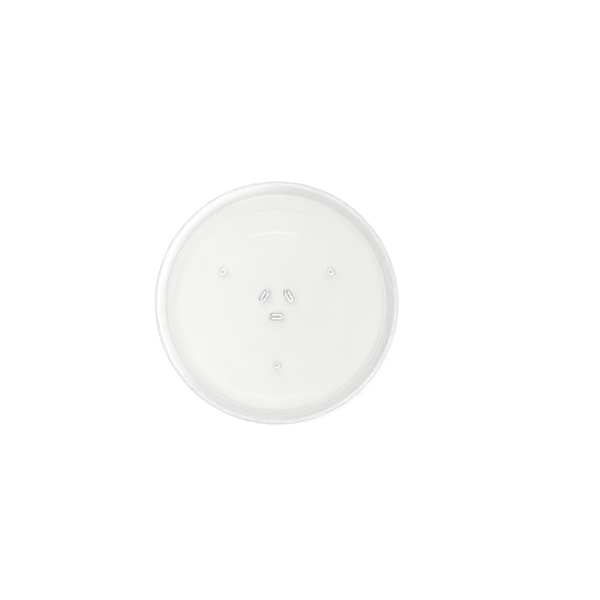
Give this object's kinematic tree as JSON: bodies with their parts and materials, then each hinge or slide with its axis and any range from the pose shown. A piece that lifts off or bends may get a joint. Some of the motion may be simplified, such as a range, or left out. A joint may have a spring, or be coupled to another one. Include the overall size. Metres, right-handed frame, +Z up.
{
  "type": "microwave turntable plate",
  "caption": "Round shallow dish of pressed clear glass with a flared wall, a roller track, drive lugs and feet under its floor, turned by the coupler of a microwave oven.",
  "frame": {"origin": "centre of the plate, on the table that its feet stand on", "axes": "+Z up, along the axis that the plate turns about; one lug and one foot lie on the -Y side"},
  "size_m": [0.245, 0.245, 0.0205],
  "materials": {
    "clear_glass": "fire-polished pressed glass, smooth and clear"
  },
  "bodies": {
    "root": {"turntable_plate": "clear_glass"}
  },
  "joints": []
}
